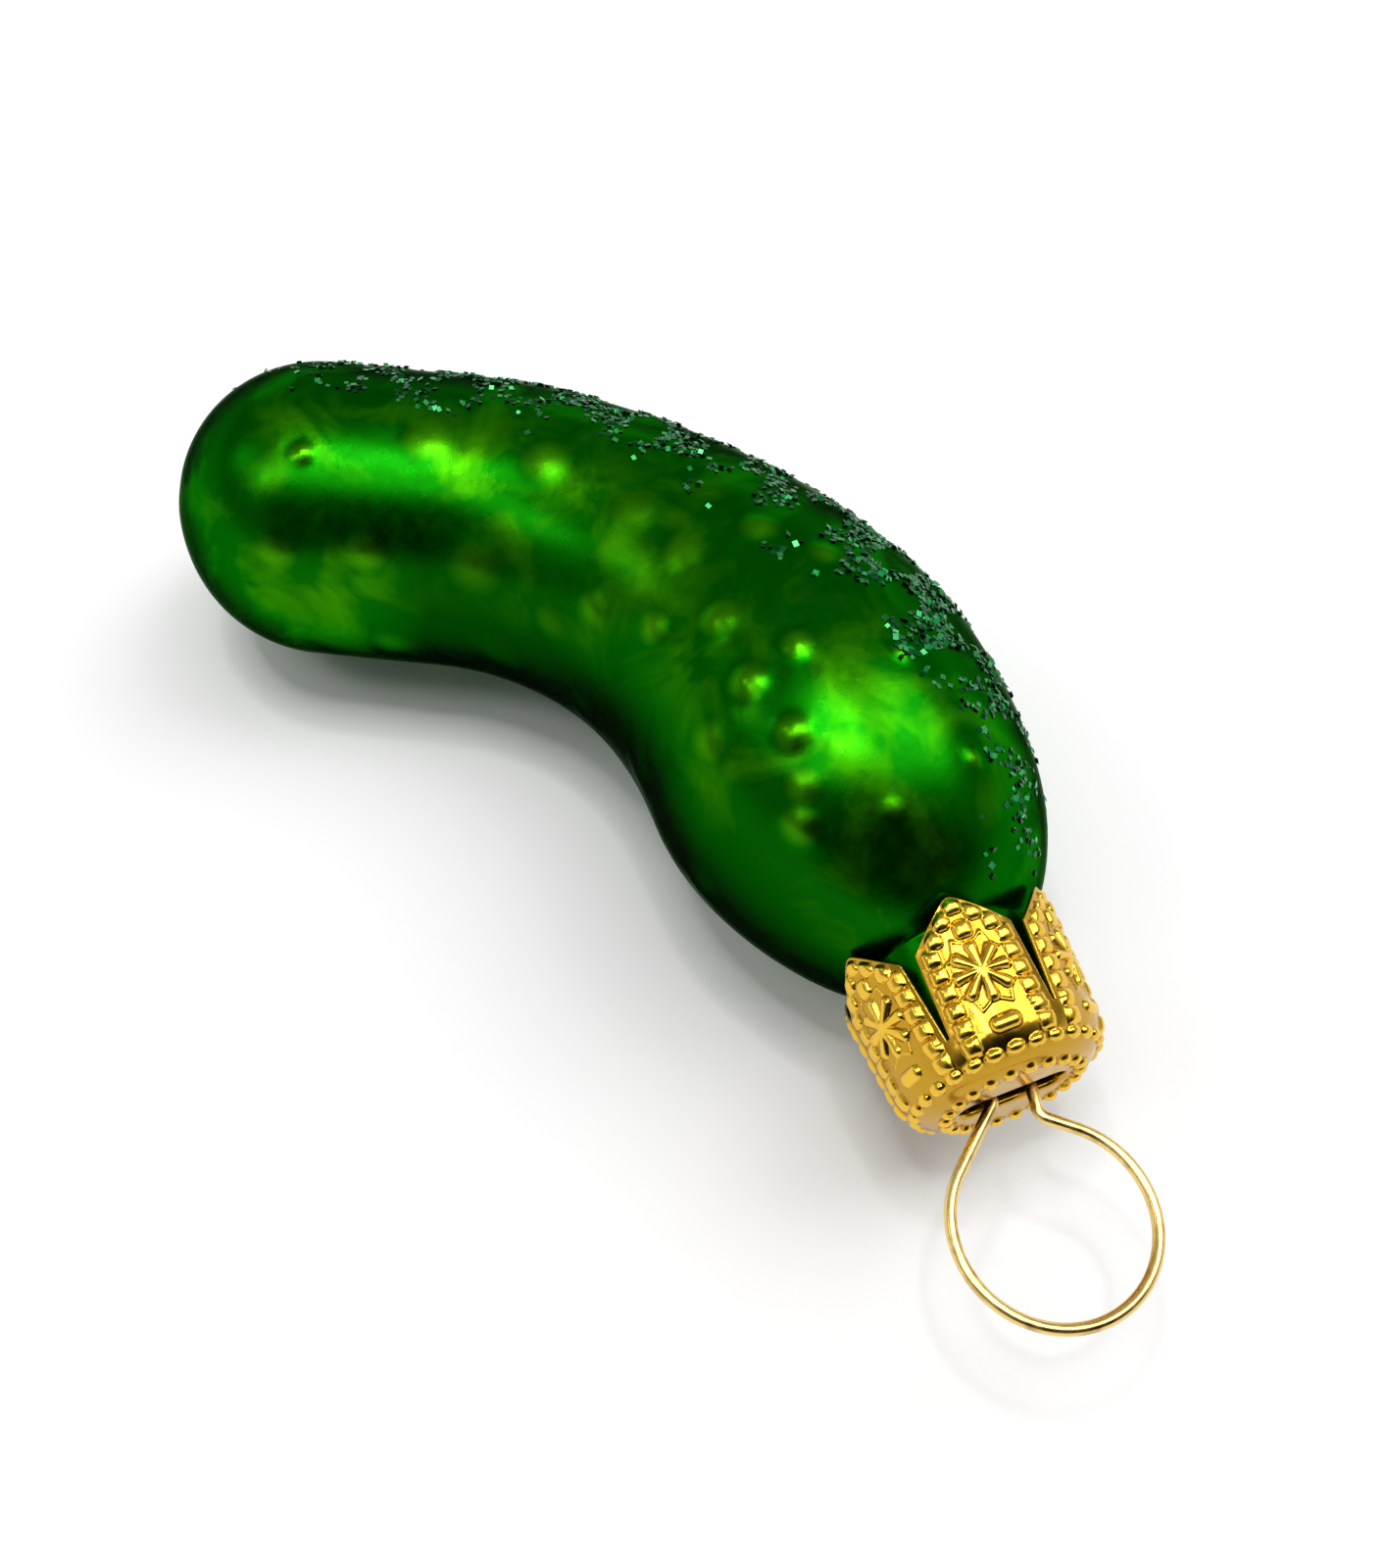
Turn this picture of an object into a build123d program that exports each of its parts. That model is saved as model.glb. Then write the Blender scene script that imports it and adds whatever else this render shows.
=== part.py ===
"""Blown glass pickle ornament: a bent hollow glass body, a stamped crown cap and a spring wire hanger.

The ornament lies on its side, with +Z up and the table at Z = 0. The neck's axis runs along Y and
the hanger points towards -Y. The origin is below the middle of the whole ornament.
"""
import os
from math import asin, atan2, cos, exp, hypot, pi, radians, sin, sqrt, tan

from build123d import *

# Glass body, in millimetres
NECK_RADIUS = 5.3
NECK_LENGTH = 7.95
SHOULDER_LENGTH = 15.3
LOBE_RADIUS = 11.7
LOBE_FADE = 15.0
LOBE_SIDESTEP = 1.0
BEND_START = 15.0
BEND_RADIUS = 32.0
BEND_ANGLE = 62.6
TIP_LENGTH = 8.2
TIP_RADIUS = 10.2
WALL = 0.9
LIP_BEVEL = 0.3

# Warts moulded into the glass: distance along the body from the neck's foot, and angle from the top
# towards the outside of the bend
WART_RADIUS = 2.4
WART_HEIGHT = 0.3
WART_PLACES = [
    (7.0, -38), (7.0, 24), (11.5, -24), (14.0, 16), (25.0, 8), (31.5, -46), (39.5, -12), (45.0, -46),
    (56.5, -18),
]
# Three warts underneath are the feet that it lies on.
FOOT_PLACES = [(13.0, -168), (32.5, 168), (56.5, -168)]

# Stamped crown cap
SHEET = 0.25
CAP_RADIUS = 6.0
CAP_EDGE = 2.4
CAP_FLARE = 4.3
CAP_DEPTH = 9.7
SKIRT_DEPTH = 2.6
PETALS = 6
PETAL_TURN = -4.8
PETAL_POINT = 0.5
SHOULDER_DEPTH = 7.45
NOTCH_ROOT = 0.2
NOTCH_WIDTH = 1.0
SLOT_LENGTH = 6.4
SLOT_WIDTH = 1.9
NECK_SEAT = 0.75

# Spring wire hanger
WIRE = 0.7
LOOP_RADIUS = 5.5
LOOP_REACH = 7.1
LOOP_SIDESTEP = -1.1
LEG_SPREAD = 7.6
LEG_LENGTH = 12.0
LEFT_BEND_SIDE = -1.1
LEFT_BEND_OUT = -0.1
RIGHT_BEND_SIDE = 0.8
RIGHT_BEND_OUT = 1.55
BEND_INSIDE = 0.45

# Places worked out from the sizes: the construction frame has the middle of the cap's top at its
# origin, the neck running towards +Y and the height of the neck's axis at zero.
MOUTH_Y = SHEET + NECK_SEAT
NECK_FOOT_Y = MOUTH_Y + NECK_LENGTH
BORE_RADIUS = NECK_RADIUS - WALL
BEND_ARC = BEND_RADIUS * radians(BEND_ANGLE)
TIP_AT = BEND_START + BEND_ARC + TIP_LENGTH

# Rings that the body's skin runs through: shares of the shoulder, closer where it curves most, even
# steps from the lobe to the tip, and turns over the round tip up to its pole. The inside takes every
# second ring.
SHOULDER_SHARES = (0, 0.03, 0.1, 0.2, 0.32, 0.47, 0.64, 0.82)
BODY_STEPS = 14
TIP_TURNS = (20, 40, 58, 75)
INSIDE_STEPS = 2


def body_radius(along):
    """Outside radius of the glass at a distance along its centreline from the neck's foot."""
    if along < SHOULDER_LENGTH:
        reach = SHOULDER_LENGTH / sqrt(1 - (NECK_RADIUS / LOBE_RADIUS) ** 2)
        return LOBE_RADIUS * sqrt(1 - ((SHOULDER_LENGTH - along) / reach) ** 2)
    return TIP_RADIUS + (LOBE_RADIUS - TIP_RADIUS) * exp(-(((along - SHOULDER_LENGTH) / LOBE_FADE) ** 2))


def body_plane(along):
    """Plane across the body there: its local Y is up and its normal points towards the tip."""
    turn = min(max(along - BEND_START, 0), BEND_ARC) / BEND_RADIUS
    straight = min(along, BEND_START)
    beyond = max(along - BEND_START - BEND_ARC, 0)
    ease = min(along / SHOULDER_LENGTH, 1)
    x = -LOBE_SIDESTEP * ease * ease * (3 - 2 * ease) - BEND_RADIUS * (1 - cos(turn)) - beyond * sin(turn)
    y = NECK_FOOT_Y + straight + BEND_RADIUS * sin(turn) + beyond * cos(turn)
    # The underside runs level with the bottom of the lobe, so the body lies flat.
    z = body_radius(along) - LOBE_RADIUS if along > SHOULDER_LENGTH else 0
    return Plane(origin=(x, y, z), x_dir=(-cos(turn), -sin(turn), 0), z_dir=(-sin(turn), cos(turn), 0))


def body_solid(inset, skip=1):
    """The pickle's form taken in by an inset all round, through closely spaced rings to the tip's pole."""
    shoulder = [SHOULDER_LENGTH * share for share in SHOULDER_SHARES[::skip]]
    spacing = (TIP_AT - SHOULDER_LENGTH) / BODY_STEPS
    rest = [SHOULDER_LENGTH + spacing * step for step in range(BODY_STEPS + 1)]
    rings = [body_plane(along) * Circle(body_radius(along) - inset) for along in shoulder + rest]
    end = body_plane(TIP_AT)
    reach = body_radius(TIP_AT) - inset
    for turn in TIP_TURNS[::skip]:
        rings.append(end.offset(reach * sin(radians(turn))) * Circle(reach * cos(radians(turn))))
    pole = end.offset(reach).origin
    return loft(rings + [Vertex(*pole)], ruled=True)


def wart(along, angle):
    """A ball sunk square into the glass so that only its crown shows."""
    step = 0.1
    lean = atan2(body_radius(along + step) - body_radius(along - step), 2 * step)
    sunk = WART_RADIUS - WART_HEIGHT
    out = body_radius(along) - sunk * cos(lean)
    place = Location((-out * sin(radians(angle)), out * cos(radians(angle)), sunk * sin(lean)))
    return body_plane(along).location * place * Sphere(WART_RADIUS)


def neck_plane(y):
    return Plane(origin=(0, y, 0), x_dir=(1, 0, 0), z_dir=(0, 1, 0))


def glass_body():
    neck = extrude(neck_plane(MOUTH_Y) * Circle(NECK_RADIUS), NECK_LENGTH)
    bore = extrude(neck_plane(MOUTH_Y) * Circle(BORE_RADIUS), NECK_LENGTH)
    outside = body_solid(0) + neck + [wart(*place) for place in WART_PLACES + FOOT_PLACES]
    shell = outside - body_solid(WALL, INSIDE_STEPS) - bore
    mouth = shell.faces().sort_by(Axis.Y)[0]
    return chamfer(mouth.edges(), LIP_BEVEL)


# The cap's own frame: local Z points out along the neck, local Y is up.
CAP_PLANE = Plane(origin=(0, 0, 0), x_dir=(1, 0, 0), z_dir=(0, -1, 0))


def cup_radius(depth):
    """Outside radius of the cap at a depth below its top, before the edge is rounded."""
    return CAP_RADIUS + depth * tan(radians(CAP_FLARE))


def cup(inset, depth):
    """The drawn cup of the cap, taken in by an inset and reaching a depth: flat, rounded, then flaring."""
    sideways = inset / cos(radians(CAP_FLARE))
    cone = Cone(
        cup_radius(depth) - sideways, cup_radius(inset) - sideways, depth - inset,
        align=(Align.CENTER, Align.CENTER, Align.MAX),
    )
    rim = cone.edges().filter_by(GeomType.CIRCLE).sort_by(Axis.Z)[-1]
    return Pos(0, 0, -inset) * fillet(rim, CAP_EDGE - inset)


def notch():
    """The V between two petals on the cap's +Y side, which widens below their shoulders into two gables."""
    end_radius = cup_radius(CAP_DEPTH)
    gable = end_radius * sin(pi / PETALS - PETAL_POINT / 2 / end_radius)
    outline = Polyline(
        (-NOTCH_ROOT / 2, -SKIRT_DEPTH), (NOTCH_ROOT / 2, -SKIRT_DEPTH), (NOTCH_WIDTH / 2, -SHOULDER_DEPTH),
        (gable, -CAP_DEPTH), (-gable, -CAP_DEPTH), (-NOTCH_WIDTH / 2, -SHOULDER_DEPTH), close=True,
    )
    side = Plane(origin=(0, 0, 0), x_dir=(-1, 0, 0), z_dir=(0, 1, 0))
    return extrude(side * make_face(outline), 2 * CAP_RADIUS)


def crown_cap():
    drawn = cup(0, CAP_DEPTH) - cup(SHEET, CAP_DEPTH)
    pitch = 360 / PETALS
    notches = [Rot(0, 0, -PETAL_TURN - pitch * (step + 0.5)) * notch() for step in range(PETALS)]
    slot = Rot(0, 0, -PETAL_TURN) * extrude(SlotOverall(SLOT_LENGTH, SLOT_WIDTH), 2 * SHEET, both=True)
    return CAP_PLANE.location * (drawn - notches - slot)


def loop_touch(point, side):
    """Where a straight run from a point touches the loop on one side (-1 left, 1 right)."""
    centre = (LOOP_SIDESTEP, LOOP_REACH)
    gap = hypot(point[0] - centre[0], point[1] - centre[1])
    towards = atan2(point[1] - centre[1], point[0] - centre[0])
    swing = pi / 2 - asin(LOOP_RADIUS / gap)
    angle = towards + side * swing
    return (centre[0] + LOOP_RADIUS * cos(angle), centre[1] + LOOP_RADIUS * sin(angle))


def hanger():
    """One wire: a leg, the round loop and the other leg, in the plane of the cap's slot."""
    left = (LEFT_BEND_SIDE, LEFT_BEND_OUT)
    right = (RIGHT_BEND_SIDE, RIGHT_BEND_OUT)
    left_touch = loop_touch(left, -1)
    right_touch = loop_touch(right, 1)
    crest = (LOOP_SIDESTEP, LOOP_REACH + LOOP_RADIUS)
    bend = BEND_INSIDE + WIRE / 2
    left_leg = FilletPolyline((-LEG_SPREAD / 2, -LEG_LENGTH), left, left_touch, radius=bend)
    right_leg = FilletPolyline(right_touch, right, (LEG_SPREAD / 2, -LEG_LENGTH), radius=bend)
    loop = ThreePointArc(left_touch, crest, right_touch)
    path = Wire([*left_leg.edges(), loop, *right_leg.edges()])
    start = Plane(origin=path @ 0, z_dir=path % 0)
    wire = sweep(start * Circle(WIRE / 2), path)
    return Plane(origin=(0, 0, 0), x_dir=(1, 0, 0), z_dir=(0, 0, -1)).location * wire


def main():
    pieces = {"glass_body": glass_body(), "crown_cap": crown_cap(), "wire_hanger": hanger()}
    box = pieces["glass_body"].bounding_box()
    for piece in pieces.values():
        box = box.add(piece.bounding_box())
    middle = box.center()
    os.makedirs("parts", exist_ok=True)
    for name, piece in pieces.items():
        placed = Pos(-middle.X, -middle.Y, -box.min.Z) * piece
        export_step(placed, f"parts/{name}.step")
        print(name, "volume", round(placed.volume, 2), "box", placed.bounding_box().size)


main()
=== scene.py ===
"""Looks of the pickle ornament: lacquered glass, glued glitter, a stamped gold cap and a wire hanger.

Everything is in metres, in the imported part's frame. The pieces are shaped in the ornament's own frame,
whose origin is the middle of the cap's top: x runs across, y into the neck and z up.
"""
from math import atan2, cos, hypot, pi, radians, sin, sqrt

import bpy
import numpy as np
from bpy.props import FloatProperty, FloatVectorProperty, IntProperty, PointerProperty
from bpy.types import Operator, Panel, PropertyGroup
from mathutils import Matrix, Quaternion, Vector


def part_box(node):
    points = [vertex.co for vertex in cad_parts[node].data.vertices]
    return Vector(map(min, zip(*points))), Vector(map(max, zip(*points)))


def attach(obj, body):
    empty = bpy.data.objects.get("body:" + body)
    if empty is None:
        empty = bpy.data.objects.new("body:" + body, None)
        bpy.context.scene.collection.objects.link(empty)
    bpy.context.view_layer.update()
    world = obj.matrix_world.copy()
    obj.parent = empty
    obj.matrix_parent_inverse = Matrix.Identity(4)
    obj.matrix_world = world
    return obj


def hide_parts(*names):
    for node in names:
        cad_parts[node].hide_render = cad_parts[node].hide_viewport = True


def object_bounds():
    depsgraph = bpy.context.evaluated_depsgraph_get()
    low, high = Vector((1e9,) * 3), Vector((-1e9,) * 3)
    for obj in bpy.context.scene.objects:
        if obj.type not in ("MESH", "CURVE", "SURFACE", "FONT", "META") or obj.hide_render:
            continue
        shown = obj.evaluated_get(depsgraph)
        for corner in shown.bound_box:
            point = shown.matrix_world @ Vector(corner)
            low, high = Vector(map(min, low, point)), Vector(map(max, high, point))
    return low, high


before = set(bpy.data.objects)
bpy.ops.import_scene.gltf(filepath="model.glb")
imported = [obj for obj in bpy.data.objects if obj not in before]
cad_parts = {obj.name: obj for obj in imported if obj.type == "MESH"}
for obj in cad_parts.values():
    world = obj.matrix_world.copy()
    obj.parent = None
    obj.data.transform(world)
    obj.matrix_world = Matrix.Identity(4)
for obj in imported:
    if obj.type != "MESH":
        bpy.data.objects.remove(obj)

bl_info = {
    "name": "Pickle ornament",
    "version": (1, 0, 0),
    "blender": (4, 5, 0),
    "location": "View3D > Sidebar > Ornament",
    "description": "Builds the glass, glitter, cap, hanger and stage of a pickle ornament",
    "category": "Object",
}

MM = 0.001
CAD_LOW, CAD_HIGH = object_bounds()
CAP_LOW, CAP_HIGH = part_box("crown_cap")
CAP_TOP = np.array([(CAP_LOW.x + CAP_HIGH.x) / 2, CAP_LOW.y, (CAP_LOW.z + CAP_HIGH.z) / 2])
UP = np.array([0.0, 0.0, 1.0])

# Point that the camera looks at, from the middle of the cap's top, in millimetres
LOOKED_AT = Vector((-9.25, 26.244, -1.99))

# Warts and soft lumps of the glass: distance along the body from the neck's foot in millimetres, angle from
# the top towards the outside of the bend in degrees, then radius and height in millimetres
LUMPS = (
    (11.5, -24, 1.5, 0.34), (7.0, -38, 1.7, 0.25), (5.5, -10, 0.8, 0.14), (7.0, 24, 0.8, 0.2),
    (14.0, 16, 0.9, 0.24), (8.6, -30, 1.5, 0.14), (14.0, -48, 1.9, 0.18), (15.8, -28, 1.7, 0.36),
    (16.5, -11, 1.4, 0.28), (21.5, -25, 1.8, 0.3), (22.0, 15, 1.6, 0.2), (25.8, 6, 1.9, 0.28),
    (25.5, -42, 1.6, 0.18), (28.0, -17, 2.0, 0.2), (31.7, -50, 1.7, 0.2), (35.5, -64, 1.7, 0.15),
    (33.0, -15, 2.2, 0.14), (40.8, -8, 2.2, 0.16), (43.6, -54, 2.6, 0.16), (49.2, -9, 2.3, 0.12),
    (52.5, -54, 2.0, 0.12), (57.2, -20, 1.1, 0.22), (58.5, -58, 1.8, 0.1), (18.5, 52, 2.2, 0.14),
    (28.5, 60, 2.2, 0.15), (37.5, 36, 2.2, 0.14), (46.0, 30, 2.2, 0.12), (54.0, 52, 2.0, 0.14),
    (9.5, -92, 2.2, 0.15), (19.5, -84, 2.3, 0.15), (30.5, -96, 2.2, 0.14), (41.5, -92, 2.3, 0.15),
    (51.5, -98, 2.2, 0.14), (12.5, 76, 2.2, 0.11), (24.5, 112, 2.3, 0.15), (35.5, 104, 2.2, 0.12),
    (46.5, 112, 2.3, 0.12), (15.5, 128, 2.2, 0.14), (55.5, 118, 2.0, 0.12), (23.5, -136, 2.3, 0.12),
    (43.5, -138, 2.2, 0.12), (39.5, 146, 2.2, 0.11), (13.0, -168, 1.5, 0.3), (32.5, 168, 1.5, 0.3),
    (56.5, -168, 1.5, 0.3),
)

# Patches of glued glitter: the middle along the body and round it, the spread each way and the grains
GLITTER_PATCHES = (
    (17.5, 40, 3.2, 13, 520), (21.0, 34, 2.0, 9, 260), (15.5, 30, 1.6, 6, 90), (25.5, 46, 4.0, 13, 330),
    (28.5, 24, 1.4, 5, 90), (33.5, 48, 4.5, 13, 330), (35.5, 22, 2.2, 5, 110), (40.5, 30, 2.6, 9, 300),
    (44.5, 42, 4.0, 13, 300), (49.5, 40, 4.0, 12, 200), (51.5, 17, 2.6, 6, 70), (57.0, 34, 2.4, 11, 110),
    (11.5, 52, 3.0, 12, 230), (8.0, 40, 2.4, 6, 90), (4.5, 46, 1.6, 8, 70), (14.0, 16, 0.5, 3, 26),
    (22.3, 4, 1.0, 3, 26), (1.7, 22, 0.5, 4, 9), (31.5, 6, 0.4, 2, 6), (47.5, 10, 3.0, 7, 34),
)


def length(name, description, millimetres):
    """A size in metres, given in millimetres."""
    return FloatProperty(
        name=name, description=description, default=millimetres * MM, unit="LENGTH", precision=5,
    )


def turn(name, description, degrees):
    """An angle, given in degrees."""
    return FloatProperty(name=name, description=description, default=radians(degrees), unit="ROTATION")


def count(name, description, value):
    return IntProperty(name=name, description=description, default=value, min=3)


def light(name, description, value):
    return FloatProperty(name=name, description=description, default=value, min=0)


def colour(name, description, red, green, blue):
    return FloatVectorProperty(
        name=name, description=description, default=(red, green, blue),
        min=0, max=1, size=3, subtype="COLOR",
    )


class GlassSettings(PropertyGroup):
    """Sizes and colours of the blown glass body."""
    neck_radius: length("Neck radius", "Outside radius of the neck", 5.3)
    neck_length: length("Neck length", "From the mouth to the foot of the neck", 7.95)
    neck_seat: length("Neck seat", "From the cap's top to the mouth of the neck", 1.0)
    shoulder_length: length("Shoulder", "From the neck's foot to the lobe", 15.3)
    lobe_radius: length("Lobe radius", "Radius of the thick end", 11.7)
    lobe_fade: length("Lobe fade", "How quickly the lobe thins towards the tail", 15.0)
    lobe_sidestep: length("Lobe sidestep", "How far the lobe lies to the side of the neck", 1.0)
    bend_start: length("Bend start", "From the neck's foot to the start of the bend", 15.0)
    bend_radius: length("Bend radius", "Radius of the bend's centreline", 32.0)
    bend_angle: turn("Bend", "How far the body bends", 62.6)
    tip_length: length("Tail length", "Straight run after the bend", 8.2)
    tip_radius: length("Tail radius", "Radius of the tail and its round tip", 10.2)
    wall: length("Wall", "Thickness of the glass", 0.9)
    lip: length("Lip", "Rounding of the cut mouth", 0.3)
    ripple: length("Ripple", "Slow unevenness of the blown surface", 0.07)
    columns: count("Columns", "Points round the body", 200)
    rows: count("Rows", "Rings along the body", 230)
    deep_green: colour("Deep green", "Lacquer where it lies thick", 0.0016, 0.12, 0.0005)
    leaf_green: colour("Leaf green", "Lacquer where it lies thin", 0.038, 0.26, 0.0006)
    lump_green: colour("Lump green", "Lacquer on the lumps", 0.07, 0.36, 0.002)
    # Painted shade: a darker green painted on the flank inside the bend, which faces the shadowed floor, and
    # the settings that place and fade it
    flank_green: colour("Flank green", "Lacquer that ran together inside the bend", 0.0008, 0.055, 0.0004)
    flank_turn: turn("Flank", "Angle from the top to the middle of that flank", -95)
    flank_end: length("Flank end", "Distance along the body where the flank's lacquer ends", 62.0)
    flank_fade: length("Flank fade", "How long before its end the flank's lacquer starts to fade", 14.0)
    rim_green: colour("Rim green", "Lacquer seen edge on", 0.03, 0.16, 0.022)


class GlitterSettings(PropertyGroup):
    """Sizes and colours of the glued glitter."""
    grain: length("Grain", "Width of a grain", 0.33)
    thickness: length("Thickness", "Thickness of a grain", 0.03)
    tilt: turn("Tilt", "How far a grain may stand up", 40)
    outermost: turn("Outermost", "Angle from the top where the glitter ends", 78)
    lobe_start: turn("Lobe start", "Angle from the top where it starts on the lobe", 14)
    lobe_low: length("Lobe from", "Distance along the body where the lobe's bare top starts", 8.0)
    lobe_high: length("Lobe to", "Distance along the body where the lobe's bare top ends", 20.0)
    foot_gap: length("Foot gap", "From the neck's foot to the first grains", 1.2)
    gaps: FloatProperty(
        name="Gaps", description="How much of a patch is left bare, from -2 to 2", default=-0.3,
    )
    seed: count("Seed", "Start of the random draws", 7)
    # Painted light: lit and shaded copies of the grain colour, picked at random for each grain as painted
    # glints and painted shade
    dark_grain: colour("Dark grain", "Grains with little light", 0.004, 0.09, 0.02)
    pale_grain: colour("Pale grain", "Grains that catch the light", 0.07, 0.42, 0.14)


class CapSettings(PropertyGroup):
    """Sizes and colours of the stamped crown cap."""
    sheet: length("Sheet", "Thickness of the metal", 0.25)
    radius: length("Radius", "Radius of the round head", 6.0)
    edge: length("Edge", "Rounding of the top's edge", 2.4)
    flare: turn("Flare", "How far the side leans outwards", 4.3)
    depth: length("Depth", "From the top to the points of the petals", 9.7)
    skirt: length("Skirt", "From the top to the roots of the petals", 2.6)
    shoulder: length("Shoulder", "From the top to the petals' shoulders", 7.45)
    petals: count("Petals", "Petals round the cap", 6)
    petal_turn: turn("Petal turn", "Angle of the uppermost petal from the top", -4.8)
    notch_root: length("Notch root", "Width of the notch between two petals at its root", 0.2)
    notch_width: length("Notch width", "Width of the notch at the petals' shoulders", 1.0)
    slot_length: length("Slot length", "Length of the slot for the wire", 6.4)
    slot_width: length("Slot width", "Width of the slot for the wire", 1.9)
    lip: length("Lip", "Rounding of the slot's rolled lip", 0.26)
    lip_depth: length("Lip depth", "How far the slot's lip is turned in", 0.7)
    bead: length("Bead", "Radius of a bead on a petal", 0.53)
    side_beads: length("Side beads", "From a petal's middle to the beads along its sides", 2.2)
    rosette_depth: length("Rosette", "From a petal's root to the middle of its rosette", 2.6)
    rosette_radius: length("Rosette radius", "From the rosette's middle to the ends of its petals", 1.72)
    rim_beads: count("Rim beads", "Oval beads round the edge", 28)
    rim_beads_at: length("Rim beads over", "How far over the edge the oval beads lie", 2.1)
    top_beads: count("Top beads", "Round beads on the top", 22)
    top_bead: length("Top bead", "Radius of a round bead on the top", 0.44)
    top_bead_ring: length("Top bead ring", "Radius of the ring of beads on the top", 4.1)
    relief: length("Relief", "Height of the embossing", 0.28)
    petal_columns: count("Petal columns", "Points across a petal", 97)
    petal_rows: count("Petal rows", "Points down a petal", 104)
    top_rows: count("Top rows", "Rings on the top", 36)
    edge_rows: count("Edge rows", "Rings over the edge", 44)
    skirt_rows: count("Skirt rows", "Rings down the skirt", 6)
    bright_gold: colour("Bright gold", "Polished gold", 0.83, 0.51, 0.05)
    # Painted shade: the gold is darkened towards the stamped hollows, and the flats halfway
    deep_gold: colour("Deep gold", "Gold in the hollows", 0.3, 0.14, 0.007)


class HangerSettings(PropertyGroup):
    """Sizes and colours of the spring wire hanger."""
    wire: length("Wire", "Diameter of the wire", 0.7)
    loop_radius: length("Loop radius", "Radius of the loop's centreline", 5.5)
    loop_reach: length("Loop reach", "From the cap's top to the middle of the loop", 7.1)
    loop_sidestep: length("Loop sidestep", "How far the loop lies to the side of the neck", -1.1)
    leg_spread: length("Leg spread", "Between the legs at their ends", 7.6)
    leg_length: length("Leg length", "How far the legs reach into the neck", 12.0)
    left_bend_side: length("Left bend aside", "How far to the side the left leg bends", -1.1)
    left_bend: length("Left bend", "How far out the left leg bends", -0.1)
    right_bend_side: length("Right bend aside", "How far to the side the right leg bends", 0.8)
    right_bend: length("Right bend", "How far out the right leg bends", 1.55)
    bend_inside: length("Bend", "Inside radius of the legs' bends", 0.45)
    columns: count("Columns", "Points round the wire", 24)
    wire_gold: colour("Wire gold", "Polished wire", 0.86, 0.62, 0.22)
    worn_gold: colour("Worn gold", "Wire where the plating is thin", 0.45, 0.3, 0.1)


class StageSettings(PropertyGroup):
    """The camera, the light and the floor."""
    azimuth: turn("Azimuth", "Camera's turn round the ornament", -20.306)
    elevation: turn("Elevation", "Camera's height above the table", 58.824)
    distance: length("Distance", "From the camera to the point that it looks at", 100.0)
    focal: length("Focal length", "Lens on a sensor whose long side is 36 mm", 36.11)
    floor_size: length("Floor", "Side of the floor", 6000.0)
    panel_angle: turn("Panels", "Width of the light box's panels as seen from the ornament", 30)
    top_light: light("Top panel", "Light that the panel over the lobe gives", 0.65)
    side_light: light("Side panel", "Light that the panel on the lobe's side gives", 0.95)
    strip_angle: turn("Strip", "Width of the strip lamp on the tail's side", 14)
    strip_light: light("Strip light", "Light that the strip lamp gives", 0.22)
    ring_lamps: count("Ring lamps", "Small lamps of the overhead ring light", 18)
    ring_angle: turn("Ring", "Angle from the middle of the ring light to its lamps", 8)
    ring_lamp_angle: turn("Ring lamp", "Width of one of its lamps", 2.6)
    ring_light: light("Ring light", "Light that the whole ring gives", 1.25)
    wall_light: light("Walls", "Brightness of the light box's walls above the sweep", 0.3)
    ceiling_light: light("Ceiling", "Brightness of the light box overhead", 0.38)
    front_light: light("Open front", "Share of that brightness that the open front has", 0.02)
    floor_white: colour("Floor", "Paper under the ornament", 0.83, 0.83, 0.83)


def row_frame(points):
    """Points from the ornament's own frame to the part's frame."""
    return np.asarray(points) + CAP_TOP


def mesh_object(name, points, faces, smooth=True):
    """A new mesh object from points in the part's frame."""
    mesh = bpy.data.meshes.new(name)
    mesh.from_pydata(np.asarray(points).tolist(), [], faces)
    mesh.validate()
    if smooth:
        mesh.shade_smooth()
    piece = bpy.data.objects.new(name, mesh)
    bpy.context.scene.collection.objects.link(piece)
    return piece


def point_values(piece, name, values):
    """Stores one number for each point of a piece, which its material reads."""
    attribute = piece.data.attributes.new(name, "FLOAT", "POINT")
    attribute.data.foreach_set("value", np.asarray(values, np.float32).ravel())


def ring_faces(rows, columns, first=0):
    """Quads between rings of points that are stored one after the other."""
    faces = []
    for row in range(rows - 1):
        low = first + row * columns
        for column in range(columns):
            beside = (column + 1) % columns
            faces.append((low + column, low + beside, low + columns + beside, low + columns + column))
    return faces


# The glass body

def body_radius(glass, along):
    """Outside radius at a distance along the centreline from the neck's foot."""
    reach = glass.shoulder_length / sqrt(1 - (glass.neck_radius / glass.lobe_radius) ** 2)
    rise = np.clip((glass.shoulder_length - along) / reach, 0, 1)
    shoulder = glass.lobe_radius * np.sqrt(1 - rise ** 2)
    fade = (along - glass.shoulder_length) / glass.lobe_fade
    rest = glass.tip_radius + (glass.lobe_radius - glass.tip_radius) * np.exp(-fade ** 2)
    radius = np.where(along < glass.shoulder_length, shoulder, rest)
    return np.where(along < 0, glass.neck_radius, radius)


def tip_start(glass):
    return glass.bend_start + glass.bend_radius * glass.bend_angle + glass.tip_length


def pole_along(glass):
    """Distance along the skin at the tip's pole."""
    return tip_start(glass) + glass.tip_radius * pi / 2


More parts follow.
